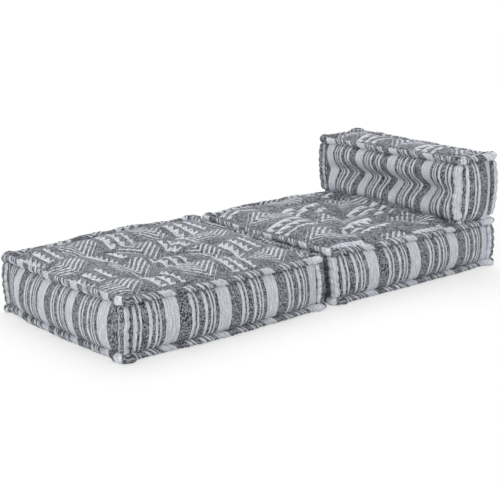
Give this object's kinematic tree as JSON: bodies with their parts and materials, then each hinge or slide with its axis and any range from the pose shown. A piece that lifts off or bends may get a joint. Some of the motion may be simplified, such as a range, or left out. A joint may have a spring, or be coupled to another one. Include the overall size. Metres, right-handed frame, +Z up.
{
  "type": "modular sofa",
  "caption": "Low modular floor sofa: a tufted seat cushion with a loose back cushion standing on its rear end and a matching ottoman cushion in front, all with rolled edges.",
  "frame": {"origin": "on the floor, midway between the two seat modules, at the middle of the set's width", "axes": "+X along the sofa from the ottoman to the backrest, +Y across it, +Z up"},
  "size_m": [1.43, 0.6, 0.3636],
  "materials": {
    "patterned_cloth": "woven jacquard, matt",
    "striped_cloth": "woven stripes, matt",
    "filling": "cotton wadding",
    "twine": "waxed cotton twine"
  },
  "bodies": {
    "seat": {"seat_top_roll": "striped_cloth", "seat_bottom_roll": "striped_cloth", "seat_front_left_corner_roll": "striped_cloth", "seat_front_right_corner_roll": "striped_cloth", "seat_rear_left_corner_roll": "striped_cloth", "seat_rear_right_corner_roll": "striped_cloth", "seat_top_pad": "patterned_cloth", "seat_front_wall_pad": "striped_cloth", "seat_rear_wall_pad": "striped_cloth", "seat_left_wall_pad": "striped_cloth", "seat_right_wall_pad": "striped_cloth", "seat_bottom_cloth": "patterned_cloth", "seat_filling": "filling", "seat_tuft_twine": "twine"},
    "ottoman": {"ottoman_top_roll": "striped_cloth", "ottoman_bottom_roll": "striped_cloth", "ottoman_front_left_corner_roll": "striped_cloth", "ottoman_front_right_corner_roll": "striped_cloth", "ottoman_rear_left_corner_roll": "striped_cloth", "ottoman_rear_right_corner_roll": "striped_cloth", "ottoman_top_pad": "patterned_cloth", "ottoman_front_wall_pad": "striped_cloth", "ottoman_rear_wall_pad": "striped_cloth", "ottoman_left_wall_pad": "striped_cloth", "ottoman_right_wall_pad": "striped_cloth", "ottoman_bottom_cloth": "patterned_cloth", "ottoman_filling": "filling", "ottoman_tuft_twine": "twine"},
    "backrest": {"backrest_top_roll": "striped_cloth", "backrest_bottom_roll": "striped_cloth", "backrest_front_left_corner_roll": "striped_cloth", "backrest_front_right_corner_roll": "striped_cloth", "backrest_rear_left_corner_roll": "striped_cloth", "backrest_rear_right_corner_roll": "striped_cloth", "backrest_top_pad": "patterned_cloth", "backrest_front_wall_pad": "striped_cloth", "backrest_rear_wall_pad": "striped_cloth", "backrest_left_wall_pad": "striped_cloth", "backrest_right_wall_pad": "striped_cloth", "backrest_bottom_cloth": "patterned_cloth", "backrest_filling": "filling", "backrest_tuft_twine": "twine"}
  },
  "joints": [
    {"name": "ottoman_slide", "type": "slide", "parent": "seat", "child": "ottoman", "axis": [-1, 0, 0], "range_m": [0, 0.6]},
    {"name": "backrest_lift", "type": "slide", "parent": "seat", "child": "backrest", "axis": [0, 0, 1], "range_m": [0, 0.4]}
  ]
}
